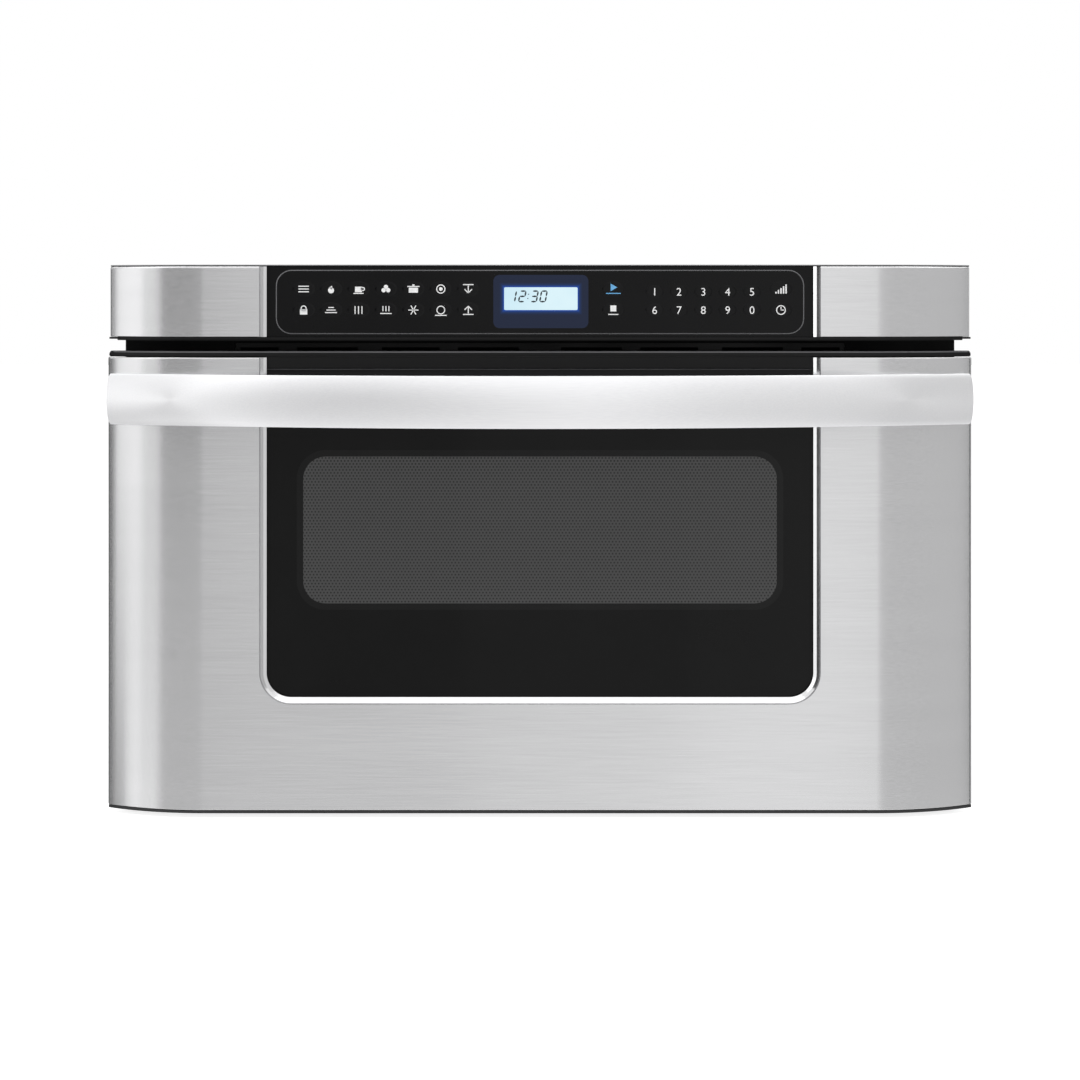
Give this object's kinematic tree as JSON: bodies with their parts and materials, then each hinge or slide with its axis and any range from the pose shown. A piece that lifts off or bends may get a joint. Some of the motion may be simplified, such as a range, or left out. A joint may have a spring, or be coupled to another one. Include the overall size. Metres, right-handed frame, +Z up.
{
  "type": "microwave drawer",
  "caption": "Built-in microwave oven whose tub slides out as a drawer, with a bowed handle, curved stainless front and a black touch control panel above",
  "frame": {"origin": "Centre of the width and depth, on the plane that the chassis stands on", "axes": "+X to the right as seen from the front, +Y to the back, +Z up; the drawer's front faces -Y and opens towards -Y"},
  "size_m": [0.6064, 0.6722, 0.3836],
  "materials": {
    "brushed_stainless": "brushed stainless, horizontal grain",
    "handle_stainless": "satin stainless",
    "bright_rim": "polished bevel",
    "black_glass": "black-printed glass, glossy",
    "control_overlay": "black touch glass with embossed keys",
    "display_window": "dark blue display surround",
    "window_mesh": "perforated steel, dark enamel",
    "black_trim": "moulded black plastic",
    "frame_black": "black powder coat",
    "galvanised_steel": "zinc-coated sheet steel",
    "grey_enamel": "baked grey enamel",
    "floor_ceramic": "white glass-ceramic plate",
    "motor_metal": "cast and drawn aluminium",
    "laminations": "varnished steel laminations",
    "windings_copper": "enamelled copper wire",
    "circuit_board": "green laminate with components",
    "pale_nylon": "moulded nylon",
    "mica_sheet": "pressed mica sheet",
    "fan_shroud": "moulded black plastic",
    "duct_sheet": "zinc-coated thin sheet",
    "inlet_rubber": "moulded rubber"
  },
  "bodies": {
    "chassis": {"panel_trim_left": "brushed_stainless", "panel_trim_right": "brushed_stainless", "control_glass": "control_overlay", "display_module": "display_window", "vent_grille": "black_trim", "control_housing": "black_trim", "front_frame": "frame_black", "base_pan": "galvanised_steel", "outer_wrap": "galvanised_steel", "rear_panel": "galvanised_steel", "waveguide": "galvanised_steel", "magnetron_yoke": "galvanised_steel", "motor_bracket": "galvanised_steel", "rail_outer_left": "galvanised_steel", "rail_outer_right": "galvanised_steel", "stirrer_motor": "galvanised_steel", "oven_cavity": "grey_enamel", "drive_motor": "motor_metal", "magnetron_anode": "motor_metal", "hv_capacitor": "motor_metal", "transformer_core": "laminations", "fan_motor": "laminations", "transformer_windings": "windings_copper", "filter_board": "circuit_board", "control_board": "circuit_board", "interlock_switches_left": "pale_nylon", "interlock_switches_right": "pale_nylon", "cavity_lamp": "pale_nylon", "stirrer_cover": "mica_sheet", "fan_housing": "fan_shroud", "air_duct": "duct_sheet", "power_inlet_bush": "inlet_rubber"},
    "drawer": {"rail_inner_right": "galvanised_steel", "rail_inner_left": "galvanised_steel", "carriage_arm_right": "galvanised_steel", "carriage_arm_left": "galvanised_steel", "carriage_bar": "galvanised_steel", "drawer_rack": "pale_nylon", "drawer_tub": "grey_enamel", "tub_floor_plate": "floor_ceramic", "inner_panel": "grey_enamel", "choke_cover": "black_trim", "window_screen": "window_mesh", "front_core": "black_trim", "front_skin": "brushed_stainless", "glass_bezel": "bright_rim", "front_glass": "black_glass", "top_trim": "black_trim", "bottom_trim": "black_trim", "handle_bar": "handle_stainless", "handle_mount_left": "galvanised_steel", "handle_mount_right": "galvanised_steel", "latch_hook_left": "pale_nylon", "latch_hook_right": "pale_nylon"},
    "stirrer": {"stirrer_blade": "motor_metal"},
    "fan": {"fan_wheel": "pale_nylon"},
    "pinion": {"drive_pinion": "pale_nylon"},
    "slide_left": {"rail_middle_left": "galvanised_steel"},
    "slide_right": {"rail_middle_right": "galvanised_steel"}
  },
  "joints": [
    {"name": "drawer_slide", "type": "slide", "parent": "chassis", "child": "drawer", "axis": [0, -1, 0], "range_m": [0, 0.38]},
    {"name": "slide_left_run", "type": "slide", "parent": "chassis", "child": "slide_left", "axis": [0, -1, 0], "range_m": [0, 0.19]},
    {"name": "slide_right_run", "type": "slide", "parent": "chassis", "child": "slide_right", "axis": [0, -1, 0], "range_m": [0, 0.19]},
    {"name": "pinion_spin", "type": "hinge", "parent": "chassis", "child": "pinion", "pos_m": [0.02, -0.21415, 0.041], "axis": [0, 0, 1], "range_deg": [0, 1816]},
    {"name": "stirrer_spin", "type": "hinge", "parent": "chassis", "child": "stirrer", "pos_m": [0, -0.05115, 0.28], "axis": [0, 0, 1], "continuous": true},
    {"name": "fan_spin", "type": "hinge", "parent": "chassis", "child": "fan", "pos_m": [0.165, 0.31035, 0.288], "axis": [0, 1, 0], "continuous": true}
  ],
  "couplings": [
    {"joint": "slide_left_run", "follows": "drawer_slide", "ratio": 0.5},
    {"joint": "slide_right_run", "follows": "drawer_slide", "ratio": 0.5},
    {"joint": "pinion_spin", "follows": "drawer_slide", "rad_per_m": 83.333}
  ]
}
